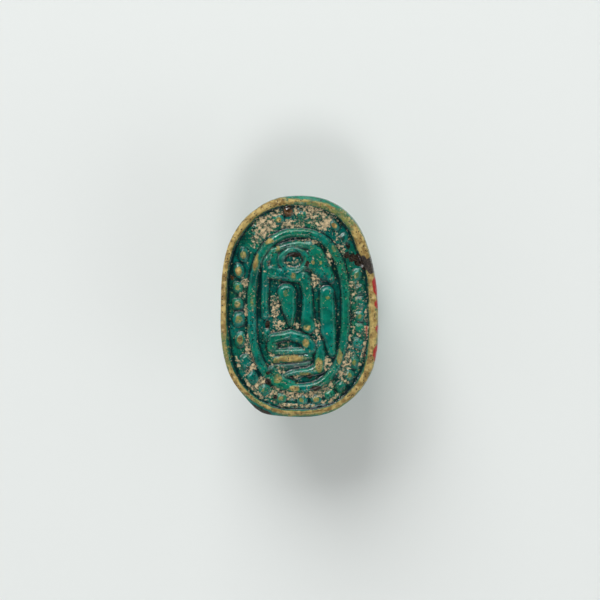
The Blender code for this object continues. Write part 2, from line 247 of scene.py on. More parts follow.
on_top = points[:, 2] > HEIGHT - TOP_SLACK
under = points[:, 2] < UNDER_LEVEL
for rounds, free in ((ALL_ROUNDS, ~on_top), (UNDER_ROUNDS, under)):
    for axis in range(3):
        points[:, axis] = np.where(free, smoothed(points[:, axis], rounds, 0.5), points[:, axis])
print("flat top points:", int(on_top.sum()))

# %% [markdown]
# ## The picture on the base
# Round the base run a flat rim, a line of raised beads and an oval ring, and inside the ring
# stand some raised forms with a disc above them. Each form is a stroke: a path through a few
# knots, each with its own radius, given as shares of the ring's half width and half length.
# The distance to the path makes a rounded ridge, and a soft maximum melts the ridges into
# the sunk field the way thick glaze does. A stroke's row is its height in millimetres and
# then its knots.

# %% Strokes and ridges
RING_HALF_WIDTH = 3.43
RING_HALF_LENGTH = 5.6
RING_OFFSET = -0.28
STROKES = {
    "hood": (
        0.4,
        (-0.72, -0.072, 0.084),
        (-0.71, 0.34, 0.084),
        (-0.7, 0.626, 0.084),
        (-0.55, 0.769, 0.084),
        (-0.3, 0.826, 0.079),
        (-0.02, 0.854, 0.084),
        (0.24, 0.833, 0.098),
        (0.39, 0.754, 0.117),
        (0.54, 0.568, 0.14),
        (0.67, 0.411, 0.093),
    ),
    "shoulder": (0.35, (0.29, 0.754, 0.128), (0.35, 0.626, 0.191), (0.52, 0.483, 0.175)),
    "cheek": (0.33, (-0.52, 0.711, 0.117), (-0.51, 0.554, 0.128)),
    "breast": (0.37, (-0.6, 0.49, 0.145), (-0.28, 0.454, 0.135), (0.1, 0.433, 0.14)),
    "left_lobe": (0.46, (-0.25, 0.22, 0.2), (-0.2, 0.0, 0.15), (-0.16, -0.17, 0.07)),
    "right_lobe": (
        0.43,
        (0.13, 0.411, 0.12),
        (0.19, 0.182, 0.11),
        (0.19, -0.009, 0.13),
        (0.2, -0.195, 0.17),
    ),
    "blade": (
        0.43,
        (0.6, 0.225, 0.154),
        (0.61, -0.072, 0.168),
        (0.64, -0.281, 0.168),
        (0.71, -0.538, 0.093),
    ),
    "stand_arch": (
        0.43,
        (-0.57, -0.481, 0.11),
        (-0.53, -0.36, 0.125),
        (-0.16, -0.318, 0.11),
        (0.14, -0.375, 0.125),
        (0.25, -0.481, 0.15),
    ),
    "stand_foot": (0.38, (-0.49, -0.535, 0.08), (-0.14, -0.53, 0.08), (0.26, -0.517, 0.09)),
    "stand_band": (0.36, (-0.51, -0.63, 0.09), (-0.14, -0.62, 0.09), (0.22, -0.59, 0.09)),
    "stand_bar": (0.26, (-0.51, -0.717, 0.04), (-0.14, -0.706, 0.04), (0.24, -0.671, 0.045)),
    "side_bow": (
        0.42,
        (0.46, -0.424, 0.085),
        (0.46, -0.61, 0.12),
        (0.42, -0.739, 0.12),
        (0.2, -0.785, 0.09),
        (-0.09, -0.8, 0.07),
        (-0.28, -0.839, 0.06),
    ),
    "low_stub": (0.36, (-0.57, -0.767, 0.09), (-0.39, -0.882, 0.1), (-0.14, -0.946, 0.09)),
    "left_knob": (0.3, (-0.66, -0.275, 0.08), (-0.68, -0.36, 0.07)),
}
DISC_PLACE = (-0.1, 0.647)
STAND_HOLLOW_PLACE = (-0.27, -0.43)


def stroke_distance(x, y, knots):
    """Distance to a tapering stroke through these knots, negative inside it."""
    nearest = np.full(len(x), 9.0)
    for knot, after in zip(knots, knots[1:]):
        start_x, end_x = (k[0] * RING_HALF_WIDTH for k in (knot, after))
        start_y, end_y = (k[1] * RING_HALF_LENGTH + RING_OFFSET for k in (knot, after))
        start_radius, end_radius = (k[2] * RING_HALF_WIDTH for k in (knot, after))
        run_x, run_y = end_x - start_x, end_y - start_y
        share = np.clip(((x - start_x) * run_x + (y - start_y) * run_y) / (run_x**2 + run_y**2), 0, 1)
        reach = np.hypot(x - start_x - share * run_x, y - start_y - share * run_y)
        nearest = np.minimum(nearest, reach - start_radius - share * (end_radius - start_radius))
    return nearest


def ridge(distance, height, shoulder):
    """A flat-topped ridge with rounded shoulders, zero from its edge outwards."""
    share = np.clip((distance + shoulder) / shoulder, 0, 1)
    return height * np.sqrt(1 - share**2)


def soft_max(first, second, reach):
    share = np.clip(0.5 + 0.5 * (first - second) / reach, 0, 1)
    return second + (first - second) * share + reach * share * (1 - share)


print(len(STROKES), "strokes")

# %% [markdown]
# ## Soft patches
# Wear and dirt have no outline. An oval patch that fades out from its middle is enough for
# them, and a table of such patches says where a kind of wear is. The noise that breaks their
# edges comes later.


# %% Soft patches
def patch(x, y, centre_x, centre_y, reach_x, reach_y):
    """1 in the middle of an oval patch and 0 outside it."""
    return 1 - smooth_step(0.35, 1, np.hypot((x - centre_x) / reach_x, (y - centre_y) / reach_y))


def patches(x, y, spots):
    """The strongest of several patches; each spot is centre, reach and strength."""
    total = np.zeros(len(x))
    for centre_x, centre_y, reach_x, reach_y, strength in spots:
        total = np.maximum(total, strength * patch(x, y, centre_x, centre_y, reach_x, reach_y))
    return total


print("half way out a patch is", round(float(patch(0.5, 0, 0, 0, 1, 1)), 2))

# %% [markdown]
# ## Measuring along the border
# Everything between the rim and the ring is easiest to place by two numbers: how far round
# the border it is, as a share from the right-hand end anticlockwise, and how far in from the
# edge, in millimetres. So each point gets both, and a bead, a stain or a worn stretch of the
# rim is then one row of a table.

# %% Share of the way round
BAND_INSET = 1.28

turn = np.linspace(-math.pi, math.pi, 1441)
band_x = (WIDTH / 2 - BAND_INSET) * np.sign(np.cos(turn)) * np.abs(np.cos(turn)) ** (2 / OUTLINE_POWER)
band_y = (LENGTH / 2 - BAND_INSET) * np.sign(np.sin(turn)) * np.abs(np.sin(turn)) ** (2 / OUTLINE_POWER)
way = np.concatenate([[0], np.cumsum(np.hypot(np.diff(band_x), np.diff(band_y)))])
BAND_LENGTH = way[-1]


def way_round(x, y, inset):
    """The share of the border's length at which a place lies, from 0 to 1."""
    across = np.abs(x / (WIDTH / 2 - inset)) ** (OUTLINE_POWER / 2)
    along = np.abs(y / (LENGTH / 2 - inset)) ** (OUTLINE_POWER / 2)
    angle = np.arctan2(np.sign(y) * along, np.sign(x) * across)
    return (np.interp(angle, turn, way) / BAND_LENGTH + 0.5) % 1


inset = np.clip(plate_inset(points[:, 0], points[:, 1]), 0, 4)
share_round = way_round(points[:, 0], points[:, 1], inset)


def along_from(share):
    """Distance along the band from this share, in millimetres."""
    return ((share_round - share + 0.5) % 1 - 0.5) * BAND_LENGTH


print("the band is", round(BAND_LENGTH, 1), "mm long")

# %% [markdown]
# ## An edge that isn't quite an oval
# The real plate was ground by hand, and its edge runs up to a fifth of a millimetre inside or
# outside a true oval. The table gives that shift by share of the way round, positive inwards.
# Only the plate moves, and nothing moves past the solid's own width.

# %% Bend the outline
BOX_SLACK = 0.002
OUTLINE_SHIFT = (
    (0.0, 0.0),
    (0.03, 0.04),
    (0.07, 0.12),
    (0.1, 0.13),
    (0.14, 0.06),
    (0.2, 0.03),
    (0.24, 0.0),
    (0.28, 0.02),
    (0.32, 0.11),
    (0.36, 0.0),
    (0.4, -0.08),
    (0.46, -0.03),
    (0.5, 0.0),
    (0.54, -0.05),
    (0.58, -0.1),
    (0.61, -0.13),
    (0.65, -0.04),
    (0.7, -0.05),
    (0.73, 0.0),
    (0.83, 0.02),
    (0.87, -0.12),
    (0.9, -0.22),
    (0.94, -0.14),
    (0.97, -0.05),
    (1.0, 0.0),
)
outwards = points[:, :2] / np.hypot(points[:, 0], points[:, 1])[:, None]
shift = -np.interp(share_round, *zip(*OUTLINE_SHIFT)) * (1 - smooth_step(0.1, 0.8, inset))
shift *= smooth_step(HEIGHT - 2.2, HEIGHT - 1.4, points[:, 2])
points[:, :2] += outwards * shift[:, None]
points[:, 0] = np.clip(points[:, 0], -WIDTH / 2 + BOX_SLACK, WIDTH / 2 - BOX_SLACK)
print("the outline moves by", round(float(shift.min()), 2), "to", round(float(shift.max()), 2), "mm")

# %% [markdown]
# ## The line of beads
# The beads were cut one by one and no two are alike; a few are nearly buried. So they are a
# table and not a pattern: share of the way round, inset, half length, half width, height and
# how bare of glaze the top is.

# %% Beads along the band
BEADS = (
    (0.010, 1.25, 0.40, 0.36, 0.30, 0.3),
    (0.034, 1.25, 0.40, 0.38, 0.28, 0.2),
    (0.064, 1.33, 0.42, 0.40, 0.34, 0.6),
    (0.140, 1.45, 0.42, 0.36, 0.26, 0.0),
    (0.173, 1.38, 0.46, 0.34, 0.36, 1.0),
    (0.243, 1.48, 0.40, 0.38, 0.33, 0.3),
    (0.270, 1.10, 0.36, 0.40, 0.34, 0.0),
    (0.293, 1.60, 0.44, 0.38, 0.34, 0.9),
    (0.350, 1.40, 0.40, 0.36, 0.14, 0.2),
    (0.398, 1.28, 0.50, 0.40, 0.34, 0.8),
    (0.431, 1.18, 0.52, 0.42, 0.36, 1.0),
    (0.464, 1.20, 0.44, 0.40, 0.34, 0.5),
    (0.496, 1.25, 0.44, 0.42, 0.36, 0.8),
    (0.526, 1.35, 0.56, 0.50, 0.40, 0.5),
    (0.566, 1.33, 0.56, 0.44, 0.34, 0.9),
    (0.610, 1.40, 0.52, 0.48, 0.38, 0.2),
    (0.644, 1.34, 0.52, 0.44, 0.38, 0.1),
    (0.679, 1.36, 0.44, 0.44, 0.36, 0.3),
    (0.715, 1.27, 0.40, 0.38, 0.32, 0.8),
    (0.757, 1.25, 0.40, 0.38, 0.32, 0.5),
    (0.785, 1.20, 0.40, 0.36, 0.32, 0.7),
    (0.812, 1.20, 0.40, 0.38, 0.34, 0.1),
    (0.840, 1.15, 0.42, 0.42, 0.40, 0.0),
    (0.867, 1.12, 0.38, 0.36, 0.30, 0.5),
    (0.893, 1.18, 0.42, 0.38, 0.32, 0.4),
    (0.929, 1.25, 0.42, 0.42, 0.36, 0.1),
    (0.958, 1.22, 0.38, 0.36, 0.30, 0.2),
    (0.982, 1.28, 0.38, 0.36, 0.30, 0.4),
)
print(len(BEADS), "beads")

# %% [markdown]
# ## Cutting the relief
# The same ridges are evaluated at every point of the flat top. Before that, each point's
# place is nudged by slow noise, so no line is quite straight and no ridge quite even, as in
# work cut by hand with a point. The rim's inner side is a quarter round down to the field.

# %% Heights over the face
WOBBLE, WOBBLE_SIZE = 0.06, 1.5
CROWN_WOBBLE = 0.1
RIM_WOBBLE = 0.05
MELT = 0.13
RIM_SHOULDER = 0.27
RING_EDGE, RING_HEIGHT, RING_SHOULDER = 0.34, 0.4, 0.27
STROKE_SHOULDER = 0.34
DISC_SIZE, DISC_HEIGHT, DISC_SHOULDER = (1.2, 1.0), 0.38, 0.22
HOLLOWS = ((DISC_PLACE, (0.9, 0.7), 0.4), (STAND_HOLLOW_PLACE, (0.8, 0.34), 0.34))
ROUND = 2
BEAD_POWER = 2.6
BEAD_SHOULDER = 0.85
OUT_OF_REACH = 9
PLATEAUS = (
    (-0.45, 3.2, 2.1, 1.5, 0.24),
    (0.9, 3.4, 1.8, 1.3, 0.24),
    (-0.5, -2.6, 1.7, 1.3, 0.16),
    (-0.2, -4.2, 1.9, 0.9, 0.1),
)
RIM_FOOT = (
    (0.0, 0.68),
    (0.055, 0.64),
    (0.11, 0.92),
    (0.145, 0.8),
    (0.25, 0.74),
    (0.34, 0.64),
    (0.4, 0.48),
    (0.5, 0.48),
    (0.56, 0.55),
    (0.63, 0.47),
    (0.7, 0.58),
    (0.8, 0.54),
    (0.9, 0.54),
    (0.95, 0.62),
    (1.0, 0.68),
)

flat = points * (1, 1, 0)
x = points[:, 0] + WOBBLE * ripples(flat, WOBBLE_SIZE, 11)
y = points[:, 1] + WOBBLE * ripples(flat, WOBBLE_SIZE, 23)
crown = 1 + CROWN_WOBBLE * ripples(flat, 1.1, 31)
rim_inset = inset + RIM_WOBBLE * ripples(flat, 1.8, 41)
rim_foot = np.interp(share_round, *zip(*RIM_FOOT))
rim_share = np.clip(1 - (rim_foot - rim_inset) / RIM_SHOULDER, 0, 1)
carved = FIELD_DEPTH * (np.sqrt(1 - rim_share**2) - 1)


def from_ring_place(place):
    """How far each point is from a place given in shares of the ring's half sizes."""
    return x - place[0] * RING_HALF_WIDTH, y - RING_OFFSET - place[1] * RING_HALF_LENGTH


def melted(carved, ridges):
    return soft_max(carved, ridges - FIELD_DEPTH, MELT)


ring_middle = np.abs(oval_distance(x, y - RING_OFFSET, RING_HALF_WIDTH, RING_HALF_LENGTH))
carved = melted(carved, ridge(ring_middle - RING_EDGE, RING_HEIGHT, RING_SHOULDER) * crown)
for centre_x, centre_y, reach_x, reach_y, top in PLATEAUS:
    carved = np.maximum(carved, top * patch(x, y, centre_x, centre_y, reach_x, reach_y) - FIELD_DEPTH)
for top, *knots in STROKES.values():
    carved = melted(carved, ridge(stroke_distance(x, y, knots), top, STROKE_SHOULDER) * crown)
disc_distance = oval_distance(*from_ring_place(DISC_PLACE), *DISC_SIZE, ROUND)
carved = melted(carved, ridge(disc_distance, DISC_HEIGHT, DISC_SHOULDER))
for middle, sizes, depth in HOLLOWS:
    hollow = np.clip(gauge(*from_ring_place(middle), *sizes, ROUND), 0, 1)
    carved = np.minimum(carved, -FIELD_DEPTH + depth * hollow**3 + OUT_OF_REACH * (hollow >= 1))
bead_tops = np.zeros(len(points))
for share, line, half_along, half_across, top, bare in BEADS:
    along = along_from(share) + x - points[:, 0]
    across = inset - line + y - points[:, 1]
    bead_distance = oval_distance(along, across, half_along, half_across, BEAD_POWER)
    carved = melted(carved, ridge(bead_distance, top, BEAD_SHOULDER * half_across) * crown)
    middle_part = 1 - smooth_step(0.25, 0.8, gauge(along, across, half_along, half_across, ROUND))
    bead_tops = np.maximum(bead_tops, bare * middle_part)
print("carving from", round(carved[on_top].min(), 2), "to", round(carved[on_top].max(), 2), "mm")

# %% [markdown]
# ## Wear, dirt and patches
# The finish isn't even. Glaze has gone from the rim and from high spots, pale soil is packed
# into the troughs, the right edge has a dark chip and the stone there some red pen marks.
# Each of these is a mask from 0 to 1, kept on the mesh as an attribute. Soft patches say
# where on the base it is, in millimetres, and noise breaks its edge. The material reads the
# attributes later, so colour and relief agree.


# %% Patches along the border
def border_patches(spots):
    """Patches placed by share of the way round and inset; reaches are in millimetres."""
    total = np.zeros(len(points))
    for share, line, reach_along, reach_across, strength in spots:
        here = patch(along_from(share), inset, 0, line, reach_along, reach_across)
        total = np.maximum(total, strength * here)
    return total


BORDER_SOIL = (
    (0.01, 1.5, 1.5, 1.0, 0.38),
    (0.05, 1.7, 1.0, 0.7, 0.42),
    (0.14, 1.9, 1.4, 0.5, 0.5),
    (0.2, 1.4, 1.5, 1.2, 0.95),
    (0.235, 1.1, 1.4, 0.9, 0.9),
    (0.265, 2.0, 1.6, 0.5, 0.9),
    (0.29, 1.05, 0.5, 0.4, 1.0),
    (0.325, 1.5, 1.6, 1.1, 0.9),
    (0.355, 1.7, 1.0, 0.7, 0.6),
    (0.45, 1.7, 0.5, 0.35, 0.9),
    (0.478, 1.6, 0.35, 0.35, 0.9),
    (0.51, 1.9, 0.8, 0.3, 0.7),
    (0.59, 1.9, 1.8, 0.45, 0.7),
    (0.605, 0.8, 0.7, 0.16, 1.0),
    (0.66, 0.82, 1.6, 0.22, 1.0),
    (0.628, 1.5, 0.4, 0.8, 0.8),
    (0.662, 1.6, 0.45, 0.9, 0.9),
    (0.698, 1.6, 0.5, 0.9, 0.8),
    (0.735, 1.7, 1.0, 0.6, 0.8),
    (0.74, 0.84, 2.4, 0.2, 1.0),
    (0.79, 1.7, 2.4, 0.6, 0.8),
    (0.81, 0.86, 1.4, 0.22, 0.8),
    (0.858, 1.5, 0.6, 0.8, 0.9),
    (0.885, 1.7, 1.6, 0.6, 0.7),
    (0.93, 1.6, 2.2, 0.9, 0.38),
    (0.95, 0.78, 3.6, 0.22, 0.7),
)
INNER_SOIL = (
    (-1.75, 0.0, 0.45, 1.4, 0.7),
    (-1.45, -1.35, 0.6, 0.6, 0.65),
    (-2.0, 3.3, 0.3, 0.6, 0.8),
    (-1.9, -3.0, 0.4, 1.8, 0.6),
    (-0.22, -1.35, 0.3, 0.42, 1.0),
    (1.2, 1.9, 0.5, 0.9, 0.85),
    (1.3, -1.9, 0.4, 1.7, 0.6),
    (2.0, -4.1, 0.6, 0.9, 0.8),
    (-1.3, -4.55, 0.45, 0.4, 1.0),
    (-0.15, -4.95, 0.5, 0.35, 1.0),
    (-0.8, -3.4, 1.5, 0.12, 0.5),
    (-0.35, 3.1, 0.8, 0.6, 0.5),
    (-0.9, -2.75, 0.6, 0.25, 0.45),
    (0.9, 4.7, 1.6, 0.25, 0.7),
    (2.2, 3.7, 0.3, 1.4, 0.8),
)

depth_share = np.clip(-carved / FIELD_DEPTH, 0, 1)
face = on_top & (inset > RIM_CREST)
soil_here = np.maximum(border_patches(BORDER_SOIL), patches(points[:, 0], points[:, 1], INNER_SOIL))
soil = soil_here * smooth_step(0.2, 0.75, depth_share)
soil = np.where(face, np.clip(soil * (1 + 0.5 * ripples(flat, 0.5, 53)), 0, 1), 0)
print("soil lies on", round(float((soil[face] > 0.5).mean()) * 100), "percent of the face")

# %% [markdown]
# ## Lifting the face
# Up to here the relief is a list of heights. Packed soil adds to them, the chip in the right
# edge takes away, and fine lumps make the stone uneven. The outer edge stays where it is,
# apart from two stretches that are worn to a slope.

# %% Lift the face into relief
ROUGHNESS, SLOW_ROUGHNESS = 0.03, 0.02
SOIL_THICKNESS = 0.1
CHIP = ((0.073, 0.0, 0.55, 0.9, 1.0), (0.085, 0.75, 0.5, 0.5, 0.7))
CHIP_DEPTH, CHIP_ROUGHNESS = 0.16, 0.08
SLOPES = ((0.69, 0.0, 2.4, 0.6, 1.0), (0.76, 0.0, 4.0, 0.5, 1.0), (0.225, 0.0, 2.4, 0.4, 0.4))
SLOPE_DEPTH = 0.28

height = carved + SOIL_THICKNESS * soil * (0.6 + 0.9 * ripples(flat, 0.3, 61))
height -= border_patches(CHIP) * (CHIP_DEPTH + CHIP_ROUGHNESS * ripples(flat, 0.3, 67))
height += ROUGHNESS * ripples(flat, 0.4, 71) + SLOW_ROUGHNESS * ripples(flat, 1.3, 73) - 0.03
points[:, 2] += np.where(on_top, smooth_step(0.24, 0.36, inset) * np.minimum(height, 0), 0)
near_top = smooth_step(HEIGHT - 0.6, HEIGHT - 0.1, points[:, 2])
points[:, 2] -= SLOPE_DEPTH * border_patches(SLOPES) * near_top
print("the face is now", round(points[on_top, 2].min(), 2), "to", round(points[:, 2].max(), 2), "mm up")

# %% [markdown]
# ## The lines of the back
# A bowed line parts the beetle's collar from its wing cases, and a straight seam parts the
# two cases. The solid has both as shallow cuts, and the smoothing blurred them, so they are
# cut again here. The back faces down, so a line is cut by lifting its points. The sizes are
# the solid's own.

# %% Cut the lines on the back
BACK_MIDDLE, BACK_HALF_WIDTH, BACK_HALF_LENGTH, BACK_POWER = -1.1, 5.2, 6.4, 2.4
BACK_TOP, BACK_TOP_FADE = 3.8, 0.3
COLLAR_LINE, COLLAR_BOW = 1.6, 0.9
LINE_HALF_WIDTH = 0.21
LINE_DEPTH = 0.16

back_line = COLLAR_LINE + COLLAR_BOW * (points[:, 0] / BACK_HALF_WIDTH) ** 2
off_collar = np.abs(points[:, 1] - back_line) / LINE_HALF_WIDTH
off_seam = np.where(points[:, 1] < back_line, np.abs(points[:, 0]), np.inf) / LINE_HALF_WIDTH
back_gauge = gauge(points[:, 0], points[:, 1] - BACK_MIDDLE, BACK_HALF_WIDTH, BACK_HALF_LENGTH, BACK_POWER)
on_back = 1 - smooth_step(BACK_TOP - BACK_TOP_FADE, BACK_TOP, points[:, 2])
on_back *= 1 - smooth_step(0.93, 1.0, back_gauge)
back_groove = np.clip(1 - np.minimum(off_collar, off_seam) ** 2, 0, 1) * on_back
points[:, 2] += LINE_DEPTH * back_groove
print("points in the lines of the back:", int((back_groove > 0).sum()))

# %% [markdown]
# ## Where the glaze has worn thin
# A glaze goes first from whatever sticks out. Taking a blurred copy of the heights away from
# the heights themselves leaves the crests above zero and the grooves below it, at the scale of
# the blur. The rim is worn nearly all the way round, least at its top and lower left. The
# grooves, the deep field and a few hollows are darkened as well, partly as glaze that pooled
# there and partly as painted shade.

# %% Crests, grooves and the rim
CREST_SCALE = 0.06


def mesh_normals(mesh, points):
    """The normals of the mesh after its points have moved."""
    mesh.vertices.foreach_set("co", points.astype(np.float32).ravel())
    mesh.update()
    normals = np.empty(points.size, np.float32)
    mesh.vertex_normals.foreach_get("vector", normals)
    return normals.reshape(-1, 3)


normals = mesh_normals(net, points)
blurred = np.column_stack([smoothed(points[:, axis], 26, 0.6) for axis in range(3)])
crest = np.clip(((points - blurred) * normals).sum(axis=1) / CREST_SCALE, -1.5, 1.5)
RIM_BARE = (
    (0.0, 0.7),
    (0.055, 0.7),
    (0.1, 1.0),
    (0.135, 0.85),
    (0.15, 0.35),
    (0.2, 0.4),
    (0.24, 0.3),
    (0.26, 0.5),
    (0.29, 0.9),
    (0.47, 0.9),
    (0.54, 0.75),
    (0.555, 0.1),
    (0.6, 0.1),
    (0.62, 0.8),
    (0.65, 0.8),
    (0.67, 0.55),
    (0.7, 0.75),
    (0.84, 0.9),
    (0.87, 0.6),
    (0.9, 0.7),
    (0.917, 0.4),
    (0.93, 0.65),
    (1.0, 0.7),
)
rim_bare = np.interp(share_round, *zip(*RIM_BARE))
rim_band = smooth_step(0.0, 0.1, rim_inset) * (1 - smooth_step(-0.14, 0.02, rim_inset - rim_foot))
OUTER_GLAZE = ((0.225, 0.0, 3.0, 0.34, 1.0), (0.69, 0.0, 2.2, 0.4, 1.0), (0.78, 0.0, 3.0, 0.3, 0.5))
rim_band *= smooth_step(HEIGHT - 0.9, HEIGHT - 0.2, points[:, 2]) * (1 - 0.8 * border_patches(OUTER_GLAZE))
BARE_SPOTS = (
    (-3.15, 3.4, 0.35, 1.3, 0.9),
    (-2.4, 4.75, 0.9, 0.35, 0.9),
    (-3.35, 0.2, 0.2, 1.0, 0.4),
    (-1.5, 4.2, 0.25, 0.5, 0.7),
    (-0.35, 2.2, 0.3, 0.4, 0.8),
    (-0.9, 0.95, 0.3, 0.5, 0.5),
    (1.1, 1.0, 0.25, 0.35, 0.5),
    (2.15, 0.7, 0.25, 0.3, 0.6),
    (1.05, 3.2, 0.25, 0.3, 0.6),
    (1.65, 3.2, 0.2, 0.25, 0.6),
    (0.65, -1.5, 0.4, 0.35, 0.8),
    (0.55, -2.6, 0.4, 0.5, 0.8),
    (-0.5, -3.75, 1.6, 0.42, 1.0),
    (-1.6, -4.0, 0.35, 0.5, 0.8),
    (1.5, -4.2, 0.4, 0.8, 0.9),
    (0.6, -4.9, 0.8, 0.3, 0.7),
    (-1.5, -5.2, 0.5, 0.5, 0.8),
    (-0.3, -5.9, 0.6, 0.35, 0.8),
    (3.0, -3.6, 0.3, 0.9, 0.7),
    (2.7, 4.3, 0.5, 0.6, 0.5),
)
bare_spots = patches(points[:, 0], points[:, 1], BARE_SPOTS) * (carved > -0.3)
thin_glaze = np.maximum(rim_band * rim_bare, 0.75 * bead_tops)
thin_glaze = np.maximum(thin_glaze, 0.7 * face * bare_spots)
WALL_BARE = (
    (0.0, 0.75),
    (0.1, 0.8),
    (0.16, 0.3),
    (0.24, 0.1),
    (0.35, 0.5),
    (0.55, 0.45),
    (0.66, 0.15),
    (0.84, 0.5),
    (1.0, 0.75),
)
wall = ~face & (points[:, 2] > HEIGHT - 1.8) & (inset < 0.3)
wall_bare = np.interp(share_round, *zip(*WALL_BARE)) * (0.9 + 0.5 * ripples(points, 1.2, 83))
thin_glaze = np.maximum(thin_glaze, np.where(wall, 0.8 * wall_bare, 0))
thin_glaze = np.clip(thin_glaze + np.where(face, 0.12, 0.35) * np.clip(crest, 0, 1), 0, 1)
# Hollows that get painted shade on top of their pooled glaze: centre, reach and strength.
POOLED_AND_SHADED_HOLLOWS = (
    (0.05, -0.4, 0.3, 1.5, 0.95),
    (-2.85, 1.5, 0.3, 3.5, 0.6),
    (2.85, -1.5, 0.22, 2.2, 0.8),
    (-1.4, 1.6, 0.7, 0.6, 0.6),
)
INSIDE_RING = 2.2
dark = patches(points[:, 0], points[:, 1], POOLED_AND_SHADED_HOLLOWS) * (depth_share > 0.45)
# Painted shade with real pooling: the deep field, the grooves on the face and the creases and lines of the
# back are darkened.
deep_pool_and_shade = smooth_step(0.45, 0.95, depth_share) * np.where(inset > INSIDE_RING, 0.75, 0.4)
face_pool_and_shade = np.maximum.reduce([0.95 * smooth_step(0.1, 0.95, -crest), dark, deep_pool_and_shade]) * (1 - 0.3 * soil)
back_pool_and_shade = np.maximum(0.8 * smooth_step(0.1, 0.8, -crest), 0.9 * back_groove)
pool_and_shade = np.where(face, face_pool_and_shade, back_pool_and_shade)
print("crests cover", round(float((crest[face] > 0.3).mean()) * 100), "percent of the face")

# %% [markdown]
# ## Stains and pen marks
# A black stain runs from the chip into the border, rust sits among the top beads, and small
# dark spots lie in some hollows. The right edge has red ink on it: a few loose dabs on the
# wall, and a trace along the foot of the rim. The dabs are placed by share of the way round
# and by height, so they stay on the wall.

# %% Stains and pen marks
BORDER_STAINS = (
    (0.072, 0.15, 0.8, 0.55, 1.0),
    (0.080, 0.6, 0.75, 0.55, 1.0),
    (0.090, 1.05, 0.65, 0.5, 1.0),
    (0.100, 1.45, 0.45, 0.4, 1.0),
    (0.110, 1.8, 0.35, 0.35, 1.0),
    (0.125, 1.45, 0.5, 0.35, 0.6),
    (0.145, 1.5, 0.5, 0.3, 0.55),
    (0.268, 0.85, 0.5, 0.3, 0.6),
    (0.675, 2.0, 0.45, 0.35, 1.0),
    (0.704, 1.25, 0.28, 0.25, 0.8),
    (0.79, 2.0, 0.9, 0.4, 0.6),
    (0.69, 0.02, 1.2, 0.25, 0.7),
    (0.75, 0.05, 2.6, 0.2, 0.4),
)
INNER_STAINS = (
    (-2.27, -1.33, 0.25, 0.5, 1.0),
    (0.79, -5.03, 0.28, 0.24, 1.0),
    (-2.2, -4.8, 0.25, 0.2, 0.9),
    (-0.5, -5.05, 0.3, 0.15, 0.8),
    (-0.3, 3.75, 0.75, 0.3, 0.9),
    (0.65, 3.1, 0.22, 0.35, 0.9),
    (-2.35, -3.0, 0.15, 0.15, 0.8),
)
BORDER_RUST = (
    (0.27, 1.1, 0.5, 0.6, 1.0),
    (0.448, 0.75, 0.25, 0.2, 0.8),
    (0.565, 1.35, 0.45, 0.35, 0.5),
)
WALL_INK = (
    (0.005, 6.55, 0.4, 0.6, 1.0),
    (0.035, 6.5, 0.95, 0.75, 1.0),
    (0.927, 6.5, 0.75, 0.7, 1.0),
    (0.965, 6.5, 0.4, 0.6, 1.0),
)
BORDER_INK = (
    (0.036, 0.1, 0.95, 0.26, 1.0),
    (0.006, 0.08, 0.3, 0.2, 1.0),
    (0.966, 0.08, 0.3, 0.2, 0.9),
    (0.927, 0.08, 0.7, 0.22, 1.0),
    (0.915, 0.7, 0.5, 0.14, 0.5),
    (0.955, 0.75, 1.4, 0.14, 0.5),
)

high_up = smooth_step(HEIGHT - 1.4, HEIGHT - 0.7, points[:, 2] + 0.35 * ripples(points, 0.7, 97))
inner_stain = patches(points[:, 0], points[:, 1], INNER_STAINS)
stain = np.maximum(border_patches(BORDER_STAINS), inner_stain) * high_up
rust = border_patches(BORDER_RUST) * high_up
ink = border_patches(BORDER_INK) * on_top
outside = inset < 0.2
for share, level, reach_along, reach_up, strength in WALL_INK:
    dab = strength * patch(along_from(share), points[:, 2], 0, level, reach_along, reach_up)
    ink = np.maximum(ink, np.where(outside, dab, 0))
print("stained points", int((stain > 0.5).sum()), "and inked points", int((ink > 0.5).sum()))

# %% [markdown]
# ## Putting the mesh in place
# The carving was done in millimetres about the origin, which is also where the frame has the
# solid, so the only step left is the scale. The piece rides on the one body there is and
# stands for the solid. Two more masks come with the others: where grit is loose round the
# soil, and how speckled the glaze is, since a few forms have kept a calm, clean face.

# %% Hand the piece over
net.vertices.foreach_set("co", (points * MM).astype(np.float32).ravel())
net.update()
net.shade_smooth()
CALM_SPOTS = (
    (-0.95, 0.3, 0.9, 1.5, 1.0),
    (2.1, -0.8, 0.8, 3.0, 1.0),
    (-2.5, 1.5, 0.5, 2.2, 0.9),
    (0.6, 0.2, 0.6, 2.2, 0.8),
    (-3.9, 2.0, 0.9, 3.5, 0.7),
    (3.3, -0.5, 0.5, 3.0, 0.6),
)
calm = patches(points[:, 0], points[:, 1], CALM_SPOTS)
MASKS = {
    "soil": soil,
    "near_soil": smoothed(soil, 25, 0.8),
    "thin": thin_glaze,
    "pool_and_shade": pool_and_shade,
    "stain": stain,
    "rust": rust,
    "ink": ink,
    "speckle": np.where(face, 1, 0.35) * (1 - calm) + 0.6 * rim_band,
}
for name, mask in MASKS.items():
    net.attributes.new(name, "FLOAT", "POINT").data.foreach_set("value", mask.astype(np.float32))
amulet = loose_object("scarab_amulet", net)
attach(amulet, "root")
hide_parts("scarab")
print("the amulet is one piece of", len(net.polygons), "faces")

# %% [markdown]
# ## Node groups for an old surface
# Four effects come back in every layer of this finish: a colour that drifts between two
# tones, a mask whose soft edge is broken into flecks, loose specks, and a grain for the
# bump. Each is a node group with named sockets. They read places in millimetres, so a size
# of 0.3 is a third of a millimetre whatever the piece.


